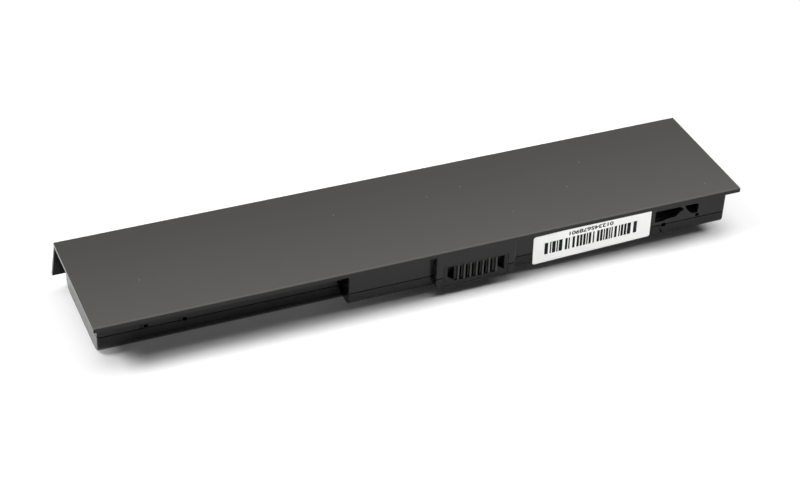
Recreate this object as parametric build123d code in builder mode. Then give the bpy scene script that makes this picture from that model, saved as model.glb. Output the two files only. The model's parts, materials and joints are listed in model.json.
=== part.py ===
"""Laptop battery: a flat plate with a rear lip over a two-part case of cells, circuit board and connector.

Millimetres. The origin is under the plate's centre, on the surface that the case stands on.
X runs along the plate, Y from its front edge to its lip, Z up to the plate's top.
The cells set the size: the case is drawn round them, and the plate round the case.
"""

import os

from build123d import *

os.makedirs("parts", exist_ok=True)

# Cells, in two rows
cell_diameter = 18.3
cell_length = 65.0
cells_per_row = 4
cell_clearance = 0.15
row_gap = 0.4
button_diameter = 7.0
button_height = 1.0
can_edge = 0.6
ring_inner = 8.6
ring_outer = 14.5

# Strips, papers and pads of the cell block
strip_thickness = 0.3
strip_width = 7.0
lead_gap = 0.9
lead_height = 2.2
lead_headroom = 1.1
lead_spacing = 0.4
lead_foot = 3.0
paper_thickness = 0.25
paper_margin = 1.0
pad_thickness = 1.15
pad_height = 12.0
end_clearance = 0.05

# Case walls
wall = 1.4
floor_thickness = 1.0
row_margin = 2.0
front_margin = 4.47
bottom_round = 5.6
end_round = 1.0
seam_height = 8.96
seam_gap = 0.4
tongue_thickness = 0.6
tongue_height = 1.2
tongue_clearance = 0.1
cradle_thickness = 3.0
cradle_height = 4.0
cradle_clearance = 0.3

# Plate and lip
plate_thickness = 1.8
plate_corner = 0.5
plate_edge = 0.2
left_overhang = 3.45
right_overhang = 4.35
main_setback = 9.78
lip_depth = 14.67
lip_thickness = 1.5
lip_flare = 1.7
lip_clearance = 0.2

# Circuit board, and the ledge along the front that holds it
board_before = 25.15
board_after = 6.3
board_thickness = 1.2
board_setback = 5.5
board_headroom = 1.3
guide_height = 1.6
guide_length = 4.0
guide_thickness = 1.2
guide_clearance = 0.1
ledge_margin = 9.9
ledge_setback = 3.06
ledge_underside = 3.56
ledge_floor = 1.2
ledge_round = 2.0
edge_round = 0.5

# Parts on the board
chip_size = (10.0, 1.1, 4.4)
transistor_size = (5.0, 1.6, 4.0)
transistor_gap = 1.6
fuse_size = (6.0, 1.8, 3.2)
resistor_size = (6.4, 0.8, 3.2)
capacitor_size = (1.6, 0.8, 0.8)
capacitor_count = 6
capacitor_pitch = 3.4
package_edge = 0.15
package_clearance = 0.4
thermistor_diameter = 2.4
thermistor_length = 4.0
thermistor_edge = 0.7
thermistor_lead = 0.5
thermistor_lead_gap = 1.2
thermistor_clearance = 0.3

# Connector block and its housing
connector_offset = 43.17
block_width = 34.6
block_round = 2.6
housing_width = 28.0
housing_drop = 5.4
housing_recess = 0.1
housing_clearance = 0.1
flange_thickness = 1.5
flange_rise = 1.2
comb_rise = 1.8
comb_margin = 0.5
comb_recess = 0.6
rib_width = 0.7
signal_slot = 1.2
signal_pitch = 2.68
signal_count = 6
signal_drop = 0.95
power_slot = 3.1
power_offset = 10.85
power_drop = 0.1
power_side = 4.6
wedge_depth = 1.0
slot_rise = 0.2
slot_depth = 7.0
leaf_thickness = 0.2
leaf_setback = 4.4

# Latch pocket at the right of the ledge: a cavity seen through two openings with a strut between
pocket_inset = 12.75
pocket_width = 20.5
pocket_depth = 7.0
pocket_skin = 1.0
pocket_drop = 3.5
pocket_corner = 1.2
sill_height = 0.3

# Corners of the two openings, each by its share of the pocket's width and of the height above the sill
left_opening = (
    (0.0, 1.0),
    (0.566, 1.0),
    (0.654, 0.68),
    (0.556, 0.475),
    (0.478, 0.157),
    (0.268, 0.12),
    (0.195, 0.0),
    (0.0, 0.0),
)
right_opening = ((0.668, 1.0), (0.99, 1.0), (0.98, 0.12), (0.839, 0.14), (0.744, 0.485))

# Snap windows, each by its distance along the wall, its width, and its lower and upper edge from the seam
left_windows = ((18.95, 1.6, 0.3, 1.6), (34.25, 1.6, -0.7, 1.0))
right_windows = ((4.3, 1.9, -1.0, 0.75), (20.05, 1.6, 0.5, 2.0))
slit_width = 0.45
slit_height = 2.2
slit_offset = 1.9
slanted_slit = ((1.6, -0.45), (3.6, -3.75))
slant_width = 0.6

# Tapered notch beside the step of the front wall
notch_top = 4.5
notch_tip = 0.4
notch_depth = 2.2
notch_bottom = 4.3
notch_skin = 1.0

# Paper label on the ledge, stuck on a little askew
label_gap = 9.2
label_space = 2.1
label_bottom = 4.05
label_headroom = 2.05
label_thickness = 0.2
label_corner = 1.0
label_tilt = 1.6

# Heights worked out from the sizes above
plate_bottom = floor_thickness + cell_diameter + 2 * cell_clearance
height = plate_bottom + plate_thickness
cell_radius = cell_diameter / 2
axis_height = floor_thickness + cell_clearance + cell_radius
lower_edge = seam_height - seam_gap / 2
upper_edge = seam_height + seam_gap / 2
tongue_top = upper_edge + tongue_height
upper_lead = plate_bottom - lead_headroom - lead_height
lower_lead = upper_lead - lead_spacing - lead_height
ledge_top = ledge_underside + ledge_floor
board_height = plate_bottom - board_headroom - ledge_top
housing_top = plate_bottom - housing_drop
slot_bottom = ledge_top + comb_rise + slot_rise
pocket_floor = tongue_top + tongue_clearance
pocket_top = plate_bottom - pocket_drop
label_height = plate_bottom - label_headroom - label_bottom

# Places along the pack
cell_pitch = cell_length + strip_thickness
stack_length = cells_per_row * cell_length + (cells_per_row - 1) * strip_thickness
end_stack = strip_thickness + paper_thickness + pad_thickness
case_length = stack_length + 2 * (end_stack + end_clearance + wall)
plate_length = left_overhang + case_length + right_overhang
left = -plate_length / 2
right = plate_length / 2
case_left = left + left_overhang
case_right = right - right_overhang
stack_left = case_left + wall + end_clearance + end_stack
stack_right = stack_left + stack_length
board_left = stack_left + 2 * cell_pitch - board_before
board_right = stack_left + 3 * cell_pitch + board_after
ledge_left = board_left - ledge_margin
block_centre = board_left + connector_offset
block_left = block_centre - block_width / 2
block_right = block_centre + block_width / 2
pocket_right = case_right - pocket_inset
pocket_left = pocket_right - pocket_width
label_left = block_right + label_gap
label_width = pocket_left - label_space - label_left

# Places from front to back
row_depth = row_margin + 2 * cell_diameter + row_gap + front_margin
plate_width = main_setback + row_depth + 2 * wall + lip_clearance + lip_thickness
front = -plate_width / 2
back = plate_width / 2
case_back = back - lip_thickness - lip_clearance
rear_row = case_back - wall - row_margin - cell_radius
front_row = rear_row - cell_diameter - row_gap
rows = (front_row, rear_row)
main_front = front + main_setback
ledge_front = front + ledge_setback
board_front = ledge_front + board_setback
board_back = board_front + board_thickness
face = front + housing_recess


def rectangle_between(low, high):
    """A rectangle sketch from its low corner to its high corner."""
    with BuildSketch() as area:
        with Locations(((low[0] + high[0]) / 2, (low[1] + high[1]) / 2)):
            Rectangle(high[0] - low[0], high[1] - low[1])
    return area.sketch


def polygon(*points):
    """A sketch with straight sides between the points."""
    with BuildSketch() as area:
        with BuildLine():
            Polyline(*points, close=True)
        make_face()
    return area.sketch


def block_between(low, high):
    """A box from its low corner to its high corner."""
    middle = tuple((a + b) / 2 for a, b in zip(low, high))
    with BuildPart() as body:
        with Locations(middle):
            Box(high[0] - low[0], high[1] - low[1], high[2] - low[2])
    return body.part


def case_plan(inset, rear, corner=0.0):
    """Plan of the case inside its outer faces by inset: left part, step, ledge and connector block."""
    with BuildSketch() as plan:
        add(polygon(
            (case_left + inset, main_front + inset),
            (ledge_left + inset, main_front + inset),
            (ledge_left + inset, ledge_front + inset),
            (block_left + inset, ledge_front + inset),
            (block_left + inset, front + inset),
            (block_right - inset, front + inset),
            (block_right - inset, ledge_front + inset),
            (case_right - inset, ledge_front + inset),
            (case_right - inset, rear),
            (case_left + inset, rear),
        ))
        if corner:
            fronts = plan.vertices().filter_by(lambda v: v.Y < rear - inset)
            fillet(fronts.group_by(Axis.X)[0] + fronts.group_by(Axis.X)[-1], end_round)
            fillet(plan.vertices().filter_by(lambda v: v.Y < front + corner), corner)
    return plan.sketch


def tray_section(inset, low, high):
    """Section across the tray, inside its outer walls by inset, with both lower corners rounded."""
    with BuildSketch() as section:
        add(rectangle_between((main_front + inset, low), (case_back - inset, high)))
        fillet(section.vertices().group_by(Axis.Y)[0], bottom_round - inset)
    return section.sketch


def seam_cuts():
    """Snap windows through the front walls near the seam, with the slits beside them."""
    with BuildPart() as cuts:
        for windows, start, wall_front in (
            (left_windows, case_left, main_front),
            (right_windows, pocket_left, ledge_front),
        ):
            for place, width, low, high in windows:
                add(block_between(
                    (start + place - width / 2, wall_front - wall, seam_height + low),
                    (start + place + width / 2, wall_front + wall, seam_height + high),
                ))
        for place, width, low, high in left_windows:
            with Locations((case_left + place - slit_offset, main_front, seam_height + (low + high) / 2)):
                Box(slit_width, wall, slit_height)
        (top_place, top), (bottom_place, bottom) = slanted_slit
        with BuildSketch(Plane.XZ.offset(-ledge_front)):
            add(polygon(
                (pocket_left + top_place, seam_height + top),
                (pocket_left + top_place + slant_width, seam_height + top),
                (pocket_left + bottom_place + slant_width, seam_height + bottom),
                (pocket_left + bottom_place, seam_height + bottom),
            ))
        extrude(amount=wall / 2, both=True)
    return cuts.part


def step_notch():
    """The notch that narrows downwards beside the step, seen from the front."""
    with BuildPart() as cut:
        with BuildSketch(Plane.XZ.offset(-main_front)):
            add(polygon(
                (ledge_left - notch_top, plate_bottom),
                (ledge_left, plate_bottom),
                (ledge_left, notch_bottom),
                (ledge_left - notch_tip, notch_bottom),
            ))
        extrude(amount=notch_depth, both=True)
    return cut.part


def notch_backing(low, high):
    """Wall behind the notch, between two heights."""
    return block_between(
        (ledge_left - notch_top - notch_skin, main_front, low),
        (ledge_left + wall, main_front + notch_depth + notch_skin, high),
    )


def housing_opening(low, high):
    """The way through the connector block for the front of its housing."""
    half = housing_width / 2 + housing_clearance
    return block_between(
        (block_centre - half, front - wall, low),
        (block_centre + half, front + wall, high),
    )


def pocket_openings():
    """The two openings of the latch pocket, left and right of the strut across it."""
    sill = pocket_floor + sill_height
    with BuildPart() as cuts:
        with BuildSketch(Plane.XZ.offset(-ledge_front)) as shapes:
            for corners in (left_opening, right_opening):
                add(polygon(*[
                    (pocket_left + along * pocket_width, sill + up * (pocket_top - sill))
                    for along, up in corners
                ]))
            corner = shapes.vertices().sort_by(lambda v: v.X + v.Y)[-1]
            fillet(corner, pocket_corner)
        extrude(amount=-wall)
    return cuts.part


# Top cover: plate, rear lip and upper case walls in one moulding; the ends of the lip lean outwards
with BuildPart() as lip_body:
    with BuildSketch(Plane.XZ.offset(-back)):
        add(polygon(
            (left, plate_bottom),
            (right, plate_bottom),
            (right + lip_flare, height - lip_depth),
            (left - lip_flare, height - lip_depth),
        ))
    extrude(amount=lip_thickness)
with BuildPart() as top_cover:
    with BuildSketch(Plane.XY.offset(plate_bottom)) as plate_plan:
        add(rectangle_between((left, front), (right, back)))
        fillet(plate_plan.vertices().group_by(Axis.Y)[0], plate_corner)
    extrude(amount=plate_thickness)
    chamfer(top_cover.faces().sort_by(Axis.Z)[-1].edges(), plate_edge)
    add(lip_body.part)
    with BuildSketch(Plane.XY.offset(upper_edge)):
        add(case_plan(0, back - lip_thickness / 2, edge_round))
        add(case_plan(wall, back - lip_thickness), mode=Mode.SUBTRACT)
    extrude(amount=plate_bottom - upper_edge)
    with BuildSketch(Plane.XY.offset(upper_edge)):
        add(case_plan(wall - tongue_thickness - tongue_clearance, back - lip_thickness))
    extrude(amount=tongue_height, mode=Mode.SUBTRACT)
    add(notch_backing(upper_edge, plate_bottom))
    add(step_notch(), mode=Mode.SUBTRACT)
    add(housing_opening(upper_edge, housing_top + housing_clearance), mode=Mode.SUBTRACT)
    # Latch pocket: a closed box behind the front wall, and the openings into it
    pocket_back = ledge_front + wall + pocket_depth
    add(block_between(
        (pocket_left - pocket_skin, ledge_front + wall / 2, pocket_floor),
        (pocket_right + pocket_skin, pocket_back + pocket_skin, plate_bottom),
    ))
    add(block_between(
        (pocket_left, ledge_front + wall, pocket_floor + pocket_skin),
        (pocket_right, pocket_back, plate_bottom),
    ), mode=Mode.SUBTRACT)
    add(pocket_openings(), mode=Mode.SUBTRACT)
    add(seam_cuts(), mode=Mode.SUBTRACT)
top_cover.part.label = "top_cover"
export_step(top_cover.part, "parts/top_cover.step")

# Bottom case: tray with rounded lower edges, the raised ledge and the lower connector block
with BuildPart() as tray_body:
    with BuildSketch(Plane.YZ.offset(case_left)):
        add(tray_section(0, 0, lower_edge))
    extrude(amount=case_length)
    ends = tray_body.faces().sort_by(Axis.X)
    rims = ends[0].edges() + ends[-1].edges()
    fillet(rims - rims.group_by(Axis.Z)[-1], end_round)
with BuildPart() as ledge_body:
    with BuildSketch(Plane.YZ.offset(ledge_left)) as ledge_section:
        add(rectangle_between((ledge_front, ledge_underside), (main_front + bottom_round, lower_edge)))
        fillet(ledge_section.vertices().group_by(Axis.Y)[0].sort_by(Axis.X)[0], ledge_round)
    extrude(amount=case_right - ledge_left)
    tip = ledge_body.faces().sort_by(Axis.X)[-1].edges()
    fillet(tip - tip.group_by(Axis.Z)[-1] - tip.group_by(Axis.Y)[-1], end_round)
with BuildPart() as block_body:
    with BuildSketch(Plane.XZ.offset(-front)) as block_face:
        add(rectangle_between((block_left, ledge_underside), (block_right, lower_edge)))
        fillet(block_face.vertices().group_by(Axis.Y)[0], block_round)
    extrude(amount=-(ledge_setback + ledge_round))
    rim = block_body.faces().sort_by(Axis.Y)[0].edges()
    fillet(rim - rim.group_by(Axis.Z)[-1], edge_round)
with BuildPart() as bottom_case:
    add(tray_body.part)
    add(ledge_body.part)
    add(block_body.part)
    with BuildSketch(Plane.YZ.offset(case_left + wall)):
        add(tray_section(wall, floor_thickness, height))
    extrude(amount=case_length - 2 * wall, mode=Mode.SUBTRACT)
    add(block_between(
        (ledge_left + wall, ledge_front + wall, ledge_top),
        (case_right - wall, main_front + bottom_round, height),
    ), mode=Mode.SUBTRACT)
    add(block_between(
        (block_left + wall, front + wall, ledge_top),
        (block_right - wall, ledge_front + 2 * wall, height),
    ), mode=Mode.SUBTRACT)
    with BuildSketch(Plane.XY.offset(lower_edge)):
        add(case_plan(wall - tongue_thickness, case_back - wall + tongue_thickness))
        add(case_plan(wall, case_back - wall), mode=Mode.SUBTRACT)
    extrude(amount=tongue_top - lower_edge)
    # Cradles under the ends of the cells
    with BuildSketch(Plane.YZ) as cradle:
        add(tray_section(wall / 2, floor_thickness / 2, height))
        add(rectangle_between((main_front, 0), (case_back, cradle_height)), mode=Mode.INTERSECT)
        with Locations(*[(row, axis_height) for row in rows]):
            Circle(cell_radius + cradle_clearance, mode=Mode.SUBTRACT)
    for joint in range(cells_per_row + 1):
        low = stack_left + joint * cell_pitch - cradle_thickness / 2
        low = min(max(low, case_left + wall / 2), case_right - wall / 2 - cradle_thickness)
        extrude(Plane.YZ.offset(low) * cradle.sketch_local, amount=cradle_thickness)
    # Guides that grip the lower edge of the board
    for place in (board_left + guide_length, board_right - 2 * guide_length):
        for low in (board_front - guide_clearance - guide_thickness, board_back + guide_clearance):
            add(block_between(
                (place, low, ledge_top - ledge_floor / 2),
                (place + guide_length, low + guide_thickness, ledge_top + guide_height),
            ))
    add(notch_backing(floor_thickness + bottom_round, lower_edge))
    add(notch_backing(lower_edge, tongue_top), mode=Mode.SUBTRACT)
    add(step_notch(), mode=Mode.SUBTRACT)
    add(housing_opening(ledge_top, tongue_top), mode=Mode.SUBTRACT)
    add(seam_cuts(), mode=Mode.SUBTRACT)
bottom_case.part.label = "bottom_case"
export_step(bottom_case.part, "parts/bottom_case.step")

# Cells: drawn cans, turned about their length, with the positive button to the right
with BuildPart() as cell:
    with BuildSketch(Plane.XZ) as half:
        add(rectangle_between((0, 0), (cell_length - button_height, cell_radius)))
        add(rectangle_between((0, 0), (cell_length, button_diameter / 2)))
        chamfer(half.vertices().group_by(Axis.Y)[-1], can_edge)
    revolve(axis=Axis.X)
number = 1
for row in rows:
    for place in range(cells_per_row):
        with BuildPart() as placed_cell:
            add(Pos(stack_left + place * cell_pitch, row, axis_height) * cell.part)
        placed_cell.part.label = f"cell_{number}"
        export_step(placed_cell.part, f"parts/cell_{number}.step")
        number += 1

# Paper rings that insulate the rim of each positive end
with BuildPart() as cell_rings:
    for place in range(cells_per_row):
        with BuildSketch(Plane.YZ.offset(stack_left + place * cell_pitch + cell_length - button_height)):
            with Locations(*[(row, axis_height) for row in rows]):
                Circle(ring_outer / 2)
                Circle(ring_inner / 2, mode=Mode.SUBTRACT)
        extrude(amount=paper_thickness)
cell_rings.part.label = "cell_rings"
export_step(cell_rings.part, "parts/cell_rings.step")

# Nickel strips: a bar across both cells, an arm on the front row and a lead to the back of the board
lead_line = front_row - cell_radius - lead_gap + strip_thickness / 2
pad_line = board_back + strip_thickness / 2
long_leads = {
    "strip_negative": (stack_left - strip_thickness, upper_lead, board_left + lead_foot, lead_foot),
    "strip_link_1": (stack_left + cell_length, lower_lead, board_left + 4 * lead_foot, lead_foot),
    "strip_positive": (stack_right, upper_lead, board_right - lead_foot, -lead_foot),
}
straight_leads = {
    "strip_link_2": (stack_left + 2 * cell_pitch - strip_thickness, lower_lead),
    "strip_link_3": (stack_left + 3 * cell_pitch - strip_thickness, lower_lead),
}


def strip_bar(low, level, reach):
    """A strip across both rows at one joint of the cells, with its arm forward to reach."""
    with BuildPart() as bar:
        with BuildSketch(Plane.YZ.offset(low)):
            add(rectangle_between(
                (front_row - strip_width / 2, axis_height - strip_width / 2),
                (rear_row + strip_width / 2, axis_height + strip_width / 2),
            ))
            add(rectangle_between(
                (front_row - strip_width / 2, axis_height),
                (front_row, level + lead_height),
            ))
            add(rectangle_between((reach, level), (front_row, level + lead_height)))
        extrude(amount=strip_thickness)
    return bar.part


for name, (low, level, landing, foot) in long_leads.items():
    with BuildPart() as strip:
        add(strip_bar(low, level, lead_line - strip_thickness / 2))
        with BuildSketch(Plane.XY.offset(level)):
            with BuildLine():
                Polyline(
                    (low + strip_thickness / 2, lead_line),
                    (landing, lead_line),
                    (landing, pad_line),
                    (landing + foot, pad_line),
                )
            trace(line_width=strip_thickness)
        extrude(amount=lead_height)
    strip.part.label = name
    export_step(strip.part, f"parts/{name}.step")
for name, (low, level) in straight_leads.items():
    with BuildPart() as strip:
        add(strip_bar(low, level, board_back))
    strip.part.label = name
    export_step(strip.part, f"parts/{name}.step")


def end_sheet(start, thickness, margin):
    """A sheet across both rows at an end of the cell block, its corners cut."""
    low = front_row - cell_radius + margin
    high = rear_row + cell_radius - margin
    with BuildPart() as sheet:
        with BuildSketch(Plane.YZ.offset(start)) as area:
            add(rectangle_between((low, axis_height - pad_height / 2), (high, axis_height + pad_height / 2)))
            chamfer(area.vertices(), paper_margin)
        extrude(amount=thickness)
    return sheet.part


# Paper insulators over the end strips, and foam pads against the end walls
for side, paper_start, pad_start in (
    ("left", stack_left - strip_thickness - paper_thickness, stack_left - end_stack),
    ("right", stack_right + strip_thickness, stack_right + strip_thickness + paper_thickness),
):
    with BuildPart() as end_paper:
        add(end_sheet(paper_start, paper_thickness, paper_margin))
    end_paper.part.label = f"end_paper_{side}"
    export_step(end_paper.part, f"parts/end_paper_{side}.step")
    with BuildPart() as foam_pad:
        add(end_sheet(pad_start, pad_thickness, 2 * paper_margin))
    foam_pad.part.label = f"foam_pad_{side}"
    export_step(foam_pad.part, f"parts/foam_pad_{side}.step")

# Circuit board, standing on the ledge floor behind the connector
with BuildPart() as circuit_board:
    add(block_between(
        (board_left, board_front, ledge_top),
        (board_right, board_back, ledge_top + board_height),
    ))
circuit_board.part.label = "circuit_board"
export_step(circuit_board.part, "parts/circuit_board.step")


def package(size, across, level):
    """A moulded package on the back of the board, its outer edges broken."""
    with BuildPart() as body:
        with Locations((across, board_back + size[1] / 2, level)):
            Box(*size)
        chamfer(body.faces().sort_by(Axis.Y)[-1].edges(), package_edge)
    return body.part


board_middle = ledge_top + board_height / 2
low_row = ledge_top + guide_height + package_clearance
with BuildPart() as gauge_chip:
    add(package(chip_size, block_centre, board_middle))
gauge_chip.part.label = "gauge_chip"
export_step(gauge_chip.part, "parts/gauge_chip.step")

transistor_pitch = transistor_size[0] + transistor_gap
with BuildPart() as power_transistors:
    for place in (1, 2):
        add(package(transistor_size, board_right - 3 * lead_foot - place * transistor_pitch, board_middle))
power_transistors.part.label = "power_transistors"
export_step(power_transistors.part, "parts/power_transistors.step")

with BuildPart() as fuse:
    add(package(fuse_size, board_right - 2 * lead_foot, low_row + fuse_size[2] / 2))
fuse.part.label = "fuse"
export_step(fuse.part, "parts/fuse.step")

with BuildPart() as sense_resistor:
    add(package(resistor_size, board_left + 2 * lead_foot, low_row + resistor_size[2] / 2))
sense_resistor.part.label = "sense_resistor"
export_step(sense_resistor.part, "parts/sense_resistor.step")

with BuildPart() as board_capacitors:
    for place in range(capacitor_count):
        across = block_centre + (place - (capacitor_count - 1) / 2) * capacitor_pitch
        add(package(capacitor_size, across, board_middle - chip_size[2]))
board_capacitors.part.label = "board_capacitors"
export_step(board_capacitors.part, "parts/board_capacitors.step")

# Thermistor: a bead close to the front row, on two short leads from the board
bead_line = front_row - cell_radius - thermistor_clearance - thermistor_diameter / 2
thermistor_place = stack_left + 2.5 * cell_pitch
with BuildPart() as thermistor:
    with BuildSketch(Plane.XY.offset(axis_height)) as bead:
        add(rectangle_between(
            (thermistor_place - thermistor_length / 2, bead_line),
            (thermistor_place + thermistor_length / 2, bead_line + thermistor_diameter / 2),
        ))
        chamfer(bead.vertices().group_by(Axis.Y)[-1], thermistor_edge)
    revolve(axis=Axis((0, bead_line, axis_height), (1, 0, 0)))
    with BuildSketch(Plane.XZ.offset(-board_back)):
        with Locations((thermistor_place, axis_height)):
            with GridLocations(thermistor_lead_gap, 0, 2, 1):
                Circle(thermistor_lead / 2)
    extrude(amount=board_back - bead_line)
thermistor.part.label = "thermistor"
export_step(thermistor.part, "parts/thermistor.step")

# Connector housing: flange inside the block, a comb of ribs and slots in front
signal_places = [(place - (signal_count - 1) / 2) * signal_pitch for place in range(signal_count)]
power_places = (-power_offset, power_offset)
comb_bottom = ledge_top + comb_rise
comb_top = housing_top - comb_margin
comb_half = power_offset + power_slot / 2 + rib_width
slots = [(place, signal_slot, comb_top - signal_drop) for place in signal_places]
slots += [(place, power_slot, comb_top - power_drop) for place in power_places]
with BuildPart() as connector_housing:
    add(block_between(
        (block_centre - housing_width / 2, face, ledge_top),
        (block_centre + housing_width / 2, board_front, housing_top),
    ))
    flange_half = block_width / 2 - wall - housing_clearance
    flange_front = front + wall + housing_clearance
    add(block_between(
        (block_centre - flange_half, flange_front, ledge_top),
        (block_centre + flange_half, flange_front + flange_thickness, housing_top + flange_rise),
    ))
    add(block_between(
        (block_centre - comb_half, face, comb_bottom),
        (block_centre + comb_half, face + comb_recess, comb_top),
    ), mode=Mode.SUBTRACT)
    ribs = [place - width / 2 - rib_width / 2 for place, width, top in slots]
    ribs += [power_offset + power_slot / 2 + rib_width / 2]
    for place in ribs:
        add(block_between(
            (block_centre + place - rib_width / 2, face, comb_bottom),
            (block_centre + place + rib_width / 2, face + comb_recess, comb_top),
        ))
    for place, width, top in slots:
        add(block_between(
            (block_centre + place - width / 2, face, slot_bottom),
            (block_centre + place + width / 2, face + slot_depth, top),
        ), mode=Mode.SUBTRACT)
    # Wedges that slant the lower edge of the power slots
    for place in power_places:
        low = block_centre + place - power_slot / 2
        with BuildSketch(Plane.XZ.offset(-face)):
            add(polygon(
                (low, comb_bottom),
                (low + power_slot, comb_bottom),
                (low + power_slot, slot_bottom + slot_rise),
                (low, comb_top - power_drop - power_side),
            ))
        extrude(amount=-wedge_depth)
connector_housing.part.label = "connector_housing"
export_step(connector_housing.part, "parts/connector_housing.step")


def spring_fork(place, width, top):
    """Two spring leaves against the sides of a slot, joined at its end."""
    low = block_centre + place - width / 2
    end = face + slot_depth
    with BuildPart() as fork:
        with BuildSketch(Plane.XY.offset(slot_bottom + leaf_thickness)):
            add(rectangle_between((low, face + leaf_setback), (low + width, end)))
            add(rectangle_between(
                (low + leaf_thickness, face + leaf_setback),
                (low + width - leaf_thickness, end - leaf_thickness),
            ), mode=Mode.SUBTRACT)
        extrude(amount=top - slot_bottom - 2 * leaf_thickness)
    return fork.part


with BuildPart() as signal_contacts:
    for slot in slots[:signal_count]:
        add(spring_fork(*slot))
signal_contacts.part.label = "signal_contacts"
export_step(signal_contacts.part, "parts/signal_contacts.step")

with BuildPart() as power_contacts:
    for slot in slots[signal_count:]:
        add(spring_fork(*slot))
power_contacts.part.label = "power_contacts"
export_step(power_contacts.part, "parts/power_contacts.step")

# Paper label, flat on the ledge wall across the seam
with BuildPart() as barcode_label:
    with BuildSketch(Plane.XZ.offset(-ledge_front)):
        with Locations(Location((label_left + label_width / 2, label_bottom + label_height / 2), label_tilt)):
            RectangleRounded(label_width, label_height, label_corner)
    extrude(amount=label_thickness)
barcode_label.part.label = "barcode_label"
export_step(barcode_label.part, "parts/barcode_label.step")
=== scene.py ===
# %% [markdown]
# # A laptop battery, dressed for its portrait
#
# The solids of the pack are already drawn: cover, tray, cells, board and connector. This notebook gives
# each of them the finish that the real piece has, prints the label, and sets up the white card and the
# soft light that the pack is seen in. Lengths are in metres, and MM turns millimetres into them. The
# finishes count in millimetres.

# %% Load the solids
import json

import bpy
import numpy as np
from mathutils import Matrix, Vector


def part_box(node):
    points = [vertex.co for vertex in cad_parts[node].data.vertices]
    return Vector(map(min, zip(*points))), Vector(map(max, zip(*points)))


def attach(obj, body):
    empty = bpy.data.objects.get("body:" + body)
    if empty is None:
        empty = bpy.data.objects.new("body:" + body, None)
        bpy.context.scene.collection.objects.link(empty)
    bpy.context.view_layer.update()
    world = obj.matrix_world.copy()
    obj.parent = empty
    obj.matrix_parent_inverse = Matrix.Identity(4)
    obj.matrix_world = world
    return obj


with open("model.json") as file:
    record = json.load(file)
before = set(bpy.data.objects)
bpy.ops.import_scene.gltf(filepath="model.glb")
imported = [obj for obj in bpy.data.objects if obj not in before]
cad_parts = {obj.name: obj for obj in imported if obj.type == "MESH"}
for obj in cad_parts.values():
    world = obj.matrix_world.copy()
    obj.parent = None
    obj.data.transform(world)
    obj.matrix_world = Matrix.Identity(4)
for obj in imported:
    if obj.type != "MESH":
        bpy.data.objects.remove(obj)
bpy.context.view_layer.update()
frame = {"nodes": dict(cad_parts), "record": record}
nodes = frame["nodes"]

# %% [markdown]
# ## Camera
#
# The plate is a flat rectangle, so its four corners in a picture fix where the camera stood. A pinhole
# camera fitted to them gives the place and the three directions below. A long lens far away would give
# almost the same picture; this one keeps the slight narrowing of the plate towards its far end.

# %% Place the camera
MM = 0.001
CAMERA_PLACE = np.array([-265.70, -581.37, 472.08]) * MM
CAMERA_RIGHT = (0.92183, -0.38563, 0.03898)
CAMERA_UP = (0.19958, 0.55847, 0.80516)
CAMERA_BACK = (-0.33226, -0.73444, 0.59178)
FOCAL_PIXELS, PICTURE_WIDTH = 1950.0, 800.0

lens = bpy.data.cameras.new("portrait_lens")
lens.sensor_width = 36.0
lens.lens = FOCAL_PIXELS / PICTURE_WIDTH * lens.sensor_width
lens.clip_start, lens.clip_end = 0.01, 20.0
camera = bpy.data.objects.new("portrait_camera", lens)
turn = Matrix((CAMERA_RIGHT, CAMERA_UP, CAMERA_BACK)).transposed()
camera.matrix_world = Matrix.Translation(CAMERA_PLACE) @ turn.to_4x4()
bpy.context.scene.collection.objects.link(camera)
bpy.context.scene.camera = camera
bpy.context.scene.view_settings.view_transform = "Standard"
print("lens", round(lens.lens, 2), "mm")

# %% [markdown]
# ## Shader arithmetic
#
# A finish is a formula over the surface: a little more of this noise, a little less of that speck. In
# Blender each plus and minus is a Math node. The class below wraps a node's output so that the formula
# can be written as it is read, and one method adds any other kind of node.


# %% Wrap a shader socket
class Signal:
    """One output of a shader node. Arithmetic on it adds Math nodes to the same tree."""

    def __init__(self, socket):
        self.socket = socket
        self.tree = socket.id_data

    @classmethod
    def node(cls, tree, kind, settings=None, inputs=None, output=0):
        """Adds a node: its settings first, then the value or link of each input; wraps one output."""
        made = tree.nodes.new(kind)
        for name, value in (settings or {}).items():
            setattr(made, name, value)
        for name, value in (inputs or {}).items():
            if isinstance(value, cls):
                tree.links.new(value.socket, made.inputs[name])
            else:
                made.inputs[name].default_value = value
        return cls(made.outputs[output])

    def also(self, output):
        """Another output of the same node."""
        return Signal(self.socket.node.outputs[output])

    def math(self, operation, first, second):
        return Signal.node(self.tree, "ShaderNodeMath", {"operation": operation}, {0: first, 1: second})

    def __add__(self, other):
        return self.math("ADD", self, other)

    def __radd__(self, other):
        return self.math("ADD", other, self)

    def __sub__(self, other):
        return self.math("SUBTRACT", self, other)

    def __rsub__(self, other):
        return self.math("SUBTRACT", other, self)

    def __mul__(self, other):
        return self.math("MULTIPLY", self, other)

    def __rmul__(self, other):
        return self.math("MULTIPLY", other, self)


# %% [markdown]
# ## Finishes in general
#
# Every finish starts from the place on the piece in millimetres, so that a grain of a tenth of a
# millimetre can be asked for as that, and ends in one Principled shader. Between them come noises,
# thresholds and two-colour mixes, each of which gets a short function here.


# %% Start, shape and close a finish
def new_finish(name):
    """An empty material, and the surface's place in millimetres."""
    material = bpy.data.materials.new(name)
    material.use_nodes = True
    tree = material.node_tree
    tree.nodes.clear()
    where = Signal.node(tree, "ShaderNodeTexCoord", output="Object")
    place = Signal.node(tree, "ShaderNodeVectorMath", {"operation": "SCALE"}, {0: where, "Scale": 1 / MM})
    return material, tree, place


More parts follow.
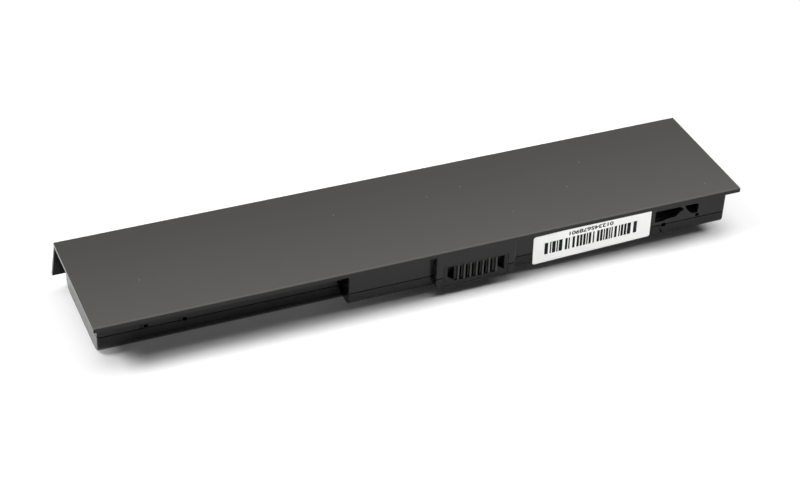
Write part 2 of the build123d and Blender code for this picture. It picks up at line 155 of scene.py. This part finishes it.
def noise(place, size, detail=2.0, stretch=(1.0, 1.0, 1.0)):
    """Cloudy noise from 0 to 1 whose features are about size millimetres across."""
    place = Signal.node(place.tree, "ShaderNodeVectorMath", {"operation": "MULTIPLY"}, {0: place, 1: stretch})
    return Signal.node(
        place.tree, "ShaderNodeTexNoise", None, {"Vector": place, "Scale": 1 / size, "Detail": detail}
    )


def ramp(signal, low, high):
    """0 up to low, 1 from high on, straight between. High may be the lesser number of the two."""
    return Signal.node(signal.tree, "ShaderNodeMapRange", None, {0: signal, 1: low, 2: high})


def between(signal, low, high, blend=0.1):
    """1 where the signal lies between low and high, 0 outside, with a blend inside either end."""
    return ramp(signal, low, low + blend) * ramp(signal, high, high - blend)


def mix(factor, low, high):
    """Colour low where factor is 0, high where it is 1."""
    return Signal.node(
        factor.tree, "ShaderNodeMix", {"data_type": "RGBA"}, {0: factor, 6: low, 7: high}, output=2
    )


def split(vector, output):
    """One coordinate of a vector. The other two are also there."""
    return Signal.node(vector.tree, "ShaderNodeSeparateXYZ", None, {0: vector}, output=output)


def facing_up(tree, wall=0.5, level=0.9):
    """1 on faces that look up, 0 on walls and undersides, by the upward share of their normal."""
    normal = Signal.node(tree, "ShaderNodeTexCoord", output="Normal")
    return ramp(split(normal, "Z"), wall, level)


def dust(place, spacing, share, radius, step=0.001):
    """Specks: one at the heart of a few cells of a flat Voronoi pattern, chosen by the cell's colour."""
    flat = {"voronoi_dimensions": "2D"}
    cells = Signal.node(place.tree, "ShaderNodeTexVoronoi", flat, {"Vector": place, "Scale": 1 / spacing})
    chance = Signal.node(place.tree, "ShaderNodeSeparateColor", None, {0: cells.also("Color")})
    near = 1 - ramp(cells * spacing, 0.5 * radius, radius)
    return near * ramp(chance, 1 - share, 1 - share + step)


def close_finish(material, tree, height, depth, **sockets):
    """Ends the formula in a Principled shader. Height, in units of depth millimetres, becomes bump."""
    sockets["Normal"] = Signal.node(
        tree, "ShaderNodeBump", None, {"Strength": 1.0, "Distance": depth * MM, "Height": height}
    )
    values = {name.replace("_", " "): value for name, value in sockets.items()}
    shader = Signal.node(tree, "ShaderNodeBsdfPrincipled", None, values)
    end = tree.nodes.new("ShaderNodeOutputMaterial")
    tree.links.new(shader.socket, end.inputs["Surface"])
    return material


finishes = {}
print("finish helpers ready")

# %% [markdown]
# ## Cover plastic
#
# The cover is one moulding in near black. The mould was spark-eroded where it forms the plate's top,
# which leaves fine grains there. The top is mixed a dull, faintly warm grey, paler than the walls, and
# palest in a narrow band along the front edge. Towards the front edge the grey grows paler still, which
# is painted sheen of the light above glancing off the plate. The walls are left
# smoother, so that they slide out of the mould, and stay black under a thin polished skin, which is a
# coat that catches the white card at a glancing angle. Grains could be sculpted, but they are a sixth of
# a millimetre wide, so noises that feed a bump do better. A handful of dust specks lie on the plate.

# %% Mix the cover's plastic
GRAIN = 0.16
SHEEN = 0.10
SKIN_SHARE = 0.45
SKIN = {"Coat_IOR": 1.25, "Coat_Roughness": 0.10}
# Painted sheen: over this span of depth the top's grey grows paler towards the front edge.
PAINTED_SHEEN_FROM, PAINTED_SHEEN_TO = 22.0, -30.0
RIM_FROM, RIM_TO = -27.4, -28.8
DUST_SPACING, DUST_SHARE, DUST_RADIUS = 14.0, 0.16, 0.30
BLACK = (0.0105, 0.0105, 0.0102, 1), (0.0145, 0.0145, 0.0141, 1)
# The top's grey at the back and at the front; the paler front one carries painted sheen.
TOP_GREY_AND_SHEEN = (0.0380, 0.0366, 0.0336, 1), (0.0695, 0.0677, 0.0634, 1)
RIM_GREY = (0.0900, 0.0877, 0.0821, 1)
DUST_GREY = (0.20, 0.195, 0.18, 1)

material, tree, place = new_finish("cover_plastic")
up = facing_up(tree)
grain = noise(place, GRAIN, 1.0)
pits = noise(place, 3.2 * GRAIN, 2.0)
clouds = noise(place, 38.0, 3.0)
tone = 0.35 * grain + 0.25 * pits + 0.4 * clouds
depth = split(place, "Y")
# Painted sheen, paler towards the front edge, with a quarter of random tone.
painted_sheen_and_tone = 0.75 * ramp(depth, PAINTED_SHEEN_FROM, PAINTED_SHEEN_TO) + 0.25 * tone
# The top's colour: its grey with painted sheen, palest in a narrow band at the front edge.
top_grey_and_sheen = mix(ramp(depth, RIM_FROM, RIM_TO), mix(painted_sheen_and_tone, *TOP_GREY_AND_SHEEN), RIM_GREY)
specks = up * dust(place, DUST_SPACING, DUST_SHARE, DUST_RADIUS)
finishes["cover_plastic"] = close_finish(
    material, tree, (0.6 * grain + 0.4 * pits) * (0.3 + 0.7 * up), 0.012,
    Base_Color=mix(specks, mix(up, mix(tone, *BLACK), top_grey_and_sheen), DUST_GREY),
    Roughness=0.17 + 0.25 * up + 0.05 * clouds + 0.04 * grain,
    Coat_Weight=SKIN_SHARE * (1 - up), Specular_IOR_Level=SHEEN, **SKIN,
)
print("cover plastic:", len(tree.nodes), "nodes")

# %% [markdown]
# ## Case and connector plastic
#
# The tray below the seam comes from the same stock, a little darker and smoother. The extra darkness is
# painted shade, for the tray's place under the plate's overhang. The melt ran along it when it was
# moulded, and faint flow lines stay, which are a noise drawn out along the pack. The connector is a
# stiffer, plainer black, and the front of its ribs is a paler grey, which is a painted highlight of the
# light the ribs catch.

# %% Mix the tray's and the connector's plastic
# The tray's near black, darker than the cover's by painted shade under the overhang.
TRAY_BLACK_AND_SHADE = (0.0050, 0.0050, 0.0048, 1), (0.0085, 0.0085, 0.0082, 1)
FLOW_STRETCH = (0.12, 1.0, 1.0)

material, tree, place = new_finish("case_plastic")
grain = noise(place, GRAIN, 1.0)
flow = noise(place, 6.0, 3.0, FLOW_STRETCH)
finishes["case_plastic"] = close_finish(
    material, tree, 0.7 * grain + 0.3 * flow, 0.006,
    Base_Color=mix(flow, *TRAY_BLACK_AND_SHADE),
    Roughness=0.17 + 0.06 * flow + 0.04 * grain,
    Coat_Weight=SKIN_SHARE, Specular_IOR_Level=SHEEN, **SKIN,
)

HOUSING_BLACK = (0.0115, 0.0115, 0.0113, 1), (0.0165, 0.0165, 0.0161, 1)
# Painted highlight: a paler grey on the front of the ribs, where they catch the light.
RIB_HIGHLIGHT_GREY = (0.036, 0.036, 0.035, 1), (0.056, 0.056, 0.054, 1)
RIBS_FROM_BOTTOM, RIBS_FROM_TOP, RIBS_HALF, HIGHLIGHT_DEPTH = 1.8, 1.7, 9.4, 0.3

material, tree, place = new_finish("connector_plastic")
grain = noise(place, GRAIN, 1.0)
clouds = noise(place, 5.0, 2.0)
low, high = (np.array(corner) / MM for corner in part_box("connector_housing"))
middle = (low + high) / 2
across = split(place, "X")
# Mask of the painted highlight on the front faces of the ribs.
rib_highlight = between(across, middle[0] - RIBS_HALF, middle[0] + RIBS_HALF)
rib_highlight = rib_highlight * between(across.also("Y"), low[1] - HIGHLIGHT_DEPTH, low[1] + HIGHLIGHT_DEPTH)
rib_highlight = rib_highlight * between(across.also("Z"), low[2] + RIBS_FROM_BOTTOM, high[2] - RIBS_FROM_TOP)
finishes["connector_plastic"] = close_finish(
    material, tree, grain, 0.005,
    Base_Color=mix(rib_highlight, mix(clouds, *HOUSING_BLACK), mix(grain, *RIB_HIGHLIGHT_GREY)),
    Roughness=0.32 + 0.08 * clouds,
    Specular_IOR_Level=SHEEN,
)
print("case and connector plastic made")

# %% [markdown]
# ## Paper, metal and the rest of the inside
#
# Little of this shows: the label, a glint of the contacts in their slots, and the rest only when the
# pack is opened. Each piece still gets what its stuff has, two near colours in soft clouds and a grain
# of its own size, and one function makes them all.


# %% Mix the plain finishes
def plain_finish(name, dark, light, size, rough, depth, **sockets):
    """Two near colours in clouds of a given size, with a bump of the clouds and an eightfold finer grain."""
    material, tree, place = new_finish(name)
    clouds = noise(place, size, 3.0)
    grain = noise(place, size / 8, 1.0)
    finishes[name] = close_finish(
        material, tree, 0.5 * clouds + 0.5 * grain, depth,
        Base_Color=mix(clouds, (*dark, 1), (*light, 1)), Roughness=rough + 0.12 * grain, **sockets,
    )


plain_finish("label_paper", (0.83, 0.83, 0.82), (0.88, 0.88, 0.87), 4.0, 0.50, 0.004)
plain_finish("ring_paper", (0.70, 0.68, 0.60), (0.78, 0.76, 0.69), 2.0, 0.70, 0.010)
plain_finish("insulating_paper", (0.30, 0.36, 0.28), (0.40, 0.46, 0.37), 3.0, 0.70, 0.010)
plain_finish("foam", (0.020, 0.020, 0.020), (0.050, 0.050, 0.050), 0.8, 0.80, 0.080)
plain_finish("board_laminate", (0.010, 0.100, 0.035), (0.018, 0.150, 0.055), 3.0, 0.30, 0.010)
plain_finish("moulded_package", (0.018, 0.018, 0.019), (0.030, 0.030, 0.032), 1.0, 0.45, 0.010)
plain_finish("fuse_body", (0.62, 0.60, 0.54), (0.70, 0.68, 0.62), 1.0, 0.40, 0.010)
plain_finish("capacitor_body", (0.36, 0.26, 0.15), (0.44, 0.32, 0.19), 0.8, 0.40, 0.010)
plain_finish("thermistor_coat", (0.020, 0.020, 0.025), (0.035, 0.035, 0.040), 1.0, 0.20, 0.010)
plain_finish("contact_metal", (0.42, 0.42, 0.41), (0.54, 0.54, 0.53), 1.0, 0.30, 0.005, Metallic=1.0)
plain_finish("cell_sleeve", (0.030, 0.110, 0.250), (0.040, 0.140, 0.300), 8.0, 0.25, 0.010)
plain_finish("nickel", (0.55, 0.53, 0.48), (0.66, 0.64, 0.58), 2.0, 0.30, 0.005, Metallic=1.0)

for part in frame["record"]["subparts"]:
    mesh = nodes[part["node"]].data
    mesh.materials.clear()
    mesh.materials.append(finishes[part["material_slot"]])
print("finishes", sorted(finishes))

# %% [markdown]
# ## Print on the label
#
# A paper label with a bar code sits on the front wall, a little askew and upside down. The ink has no
# thickness to speak of, and it could be painted by the label's shader, but then every bar would need
# its own pair of thresholds. Flat strips just off the paper are sharper and easier to read: the edges
# of all the bars are one running sum of widths. Each bar and gap draws its width at random from three,
# so they spell nothing, and the figures beside them only count. The figures are set in Blender's own
# type, a little bolder, and made a mesh before they are laid on the label.

# %% Lay out the print
LABEL_TILT = np.radians(1.6)
BARS_LEFT, BARS_RIGHT = -21.7 * MM, 20.3 * MM
BARS_LOW, BARS_HIGH = -3.0 * MM, 2.7 * MM
FIGURES_LOW, FIGURES_HIGH = 3.60 * MM, 5.55 * MM
FIGURES_LEFT, FIGURES_RIGHT = -10.8 * MM, 9.3 * MM
INK_GAP = 0.02 * MM
BAR_COUNT, BAR_SEED = 26, 5
BAR_WIDTHS, BAR_ODDS = [1.5, 2.6, 3.8], [0.46, 0.38, 0.16]
GAP_WIDTHS, GAP_ODDS = [1, 2, 3], [0.58, 0.30, 0.12]
FIGURES, FIGURE_BOLDNESS = "012345678901", 0.032

low, high = (np.array(corner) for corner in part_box("barcode_label"))
label_middle = (low + high) / 2
along = np.array([np.cos(LABEL_TILT), 0, np.sin(LABEL_TILT)])
upward = np.array([-np.sin(LABEL_TILT), 0, np.cos(LABEL_TILT)])
print("label middle", label_middle.round(4))


def on_label(across, rise):
    """Points at a distance along and up the label from its middle, just in front of the paper."""
    middle = np.array([label_middle[0], low[1] - INK_GAP, label_middle[2]])
    return middle + across[..., None] * along + rise[..., None] * upward


def bars(count, seed):
    """Corners of the bars, four to each: a running sum of random widths, every second one inked."""
    draw = np.random.default_rng(seed)
    widths = draw.choice(GAP_WIDTHS, size=2 * count - 1, p=GAP_ODDS).astype(float)
    widths[0::2] = draw.choice(BAR_WIDTHS, size=count, p=BAR_ODDS)
    edges = np.concatenate([[0], np.cumsum(widths)]) / widths.sum()
    edges = BARS_LEFT + edges * (BARS_RIGHT - BARS_LEFT)
    start, end = edges[0::2], edges[1::2]
    across = np.stack([start, end, end, start], axis=-1)
    rise = np.broadcast_to([BARS_LOW, BARS_LOW, BARS_HIGH, BARS_HIGH], across.shape)
    return on_label(across, rise).reshape(-1, 3)


# %% Ink the bars and the figures
corners = bars(BAR_COUNT, BAR_SEED)
bar_mesh = bpy.data.meshes.new("label_bars")
bar_mesh.from_pydata(corners, [], np.arange(len(corners)).reshape(-1, 4))
label_bars = bpy.data.objects.new("label_bars", bar_mesh)

letters = bpy.data.curves.new("figures", "FONT")
letters.body = FIGURES
letters.size = 1.0
letters.offset = FIGURE_BOLDNESS
typed = bpy.data.objects.new("figures", letters)
bpy.context.scene.collection.objects.link(typed)
bpy.context.view_layer.update()
settled = typed.evaluated_get(bpy.context.evaluated_depsgraph_get())
figure_mesh = bpy.data.meshes.new_from_object(settled)
bpy.data.objects.remove(typed)
points = np.empty(3 * len(figure_mesh.vertices))
figure_mesh.vertices.foreach_get("co", points)
points = points.reshape(-1, 3)
share = (points - points.min(0))[:, :2] / np.ptp(points, axis=0)[:2]
placed = on_label(
    FIGURES_RIGHT + share[:, 0] * (FIGURES_LEFT - FIGURES_RIGHT),
    FIGURES_HIGH + share[:, 1] * (FIGURES_LOW - FIGURES_HIGH),
)
figure_mesh.vertices.foreach_set("co", placed.ravel())
label_figures = bpy.data.objects.new("label_figures", figure_mesh)

INK_BLACK = (0.005, 0.005, 0.005, 1), (0.015, 0.015, 0.015, 1)

material, tree, place = new_finish("label_ink")
blotch = noise(place, 0.35, 2.0)
ink = close_finish(
    material, tree, blotch, 0.002,
    Base_Color=mix(ramp(blotch, 0.45, 0.85), *INK_BLACK),
    Roughness=0.45 + 0.15 * blotch,
    Specular_IOR_Level=SHEEN,
)
for piece in (label_bars, label_figures):
    bpy.context.scene.collection.objects.link(piece)
    piece.data.materials.clear()
    piece.data.materials.append(ink)
    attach(piece, "root")
print("bars", BAR_COUNT, "figure points", len(placed))

# %% [markdown]
# ## Table and light
#
# The pack stands on white card. A broad soft light hangs over it, a little to the rear, so the plate is
# lit evenly, the front walls stay dark and the shadow falls towards the camera. Two lights at the sides,
# the left one stronger and higher, reach the card at the pack's ends and give the left end its shine. A
# small light close to the card, at the front right, keeps the label white and hardly reaches the shadow.
# The card is plain white paint with a share of its own glow, which only the camera and gloss see. The
# share changes along the pack and is painted light that lifts the card's shadow: none in front of the
# right half, where the shadow is darkest, a little in front of the left half, and more beyond the ends,
# where the card is left almost without shade.


# %% Lay the card
def seen_directly(tree):
    """1 for the rays of the camera, of gloss and of glass, 0 for those that carry light about."""
    camera_ray = Signal.node(tree, "ShaderNodeLightPath", output="Is Camera Ray")
    return camera_ray + camera_ray.also("Is Glossy Ray") + camera_ray.also("Is Transmission Ray")


def white_card(name, painted_light_left, left, painted_light_beside, beside):
    """White paint with a share of plain white glow that only the camera and gloss see.

    Along the pack, the share is nothing on the right, rises to painted_light_left between the two places of left,
    and rises to painted_light_beside on both sides between the two distances of beside from the middle.
    """
    material = bpy.data.materials.new(name)
    material.use_nodes = True
    tree = material.node_tree
    tree.nodes.clear()
    paint = Signal.node(tree, "ShaderNodeBsdfDiffuse", None, {"Color": (0.9, 0.9, 0.9, 1)})
    glow = Signal.node(tree, "ShaderNodeEmission", None, {"Color": (1, 1, 1, 1), "Strength": 1.0})
    where = Signal.node(tree, "ShaderNodeTexCoord", output="Object")
    along = split(where, "X")
    # The glow's share is painted light that lifts the card's shadow beyond the ends and in front of the left
    # half.
    outside = ramp(along * along, beside[0] ** 2, beside[1] ** 2)
    inside = painted_light_left * ramp(along, *left)
    share = (inside + (painted_light_beside - inside) * outside) * seen_directly(tree)
    both = Signal.node(tree, "ShaderNodeMixShader", None, {0: share, 1: paint, 2: glow})
    end = tree.nodes.new("ShaderNodeOutputMaterial")
    tree.links.new(both.socket, end.inputs["Surface"])
    return material


CARD_REACH = 6.0
# Shares of painted light on the card, in front of the left half and beyond the ends.
PAINTED_LIGHT_LEFT, LEFT = 0.045, (0.0, -0.05)
PAINTED_LIGHT_BESIDE, BESIDE = 0.72, (0.124, 0.144)

corners = np.array([(-1, -1, 0), (1, -1, 0), (1, 1, 0), (-1, 1, 0)]) * CARD_REACH
card_mesh = bpy.data.meshes.new("white_card")
card_mesh.from_pydata(corners, [], [(0, 1, 2, 3)])
card_mesh.materials.append(white_card("card_white", PAINTED_LIGHT_LEFT, LEFT, PAINTED_LIGHT_BESIDE, BESIDE))
card = bpy.data.objects.new("white_card", card_mesh)
bpy.context.scene.collection.objects.link(card)
print("card", 2 * CARD_REACH, "m square")


# %% Hang the lights
def soft_box(name, place, size, power):
    """A square area lamp at a place, facing the origin."""
    lamp = bpy.data.lights.new(name, "AREA")
    lamp.shape, lamp.size, lamp.energy = "SQUARE", size, power
    back = np.array(place) / np.linalg.norm(place)
    side = np.cross((0, 0, 1), back)
    side = side / np.linalg.norm(side)
    turn = Matrix((side, np.cross(back, side), back)).transposed()
    holder = bpy.data.objects.new(name, lamp)
    holder.matrix_world = Matrix.Translation(place) @ turn.to_4x4()
    bpy.context.scene.collection.objects.link(holder)


soft_box("key_light", (0.00, 0.40, 3.00), 2.70, 78.0)
soft_box("left_light", (-1.90, 0.32, 2.40), 1.0, 62.0)
soft_box("right_light", (2.00, 0.05, 1.35), 1.0, 26.0)
soft_box("fill_light", (0.90, -1.20, 0.06), 0.11, 10.0)

ROOM_LIGHT = 0.015
world = bpy.data.worlds.new("white_room")
world.use_nodes = True
sky = world.node_tree.nodes["Background"]
sky.inputs["Color"].default_value = (1, 1, 1, 1)
strength = ROOM_LIGHT + (1 - ROOM_LIGHT) * seen_directly(world.node_tree)
world.node_tree.links.new(strength.socket, sky.inputs["Strength"])
bpy.context.scene.world = world
print("lights", [light.name for light in bpy.data.lights])
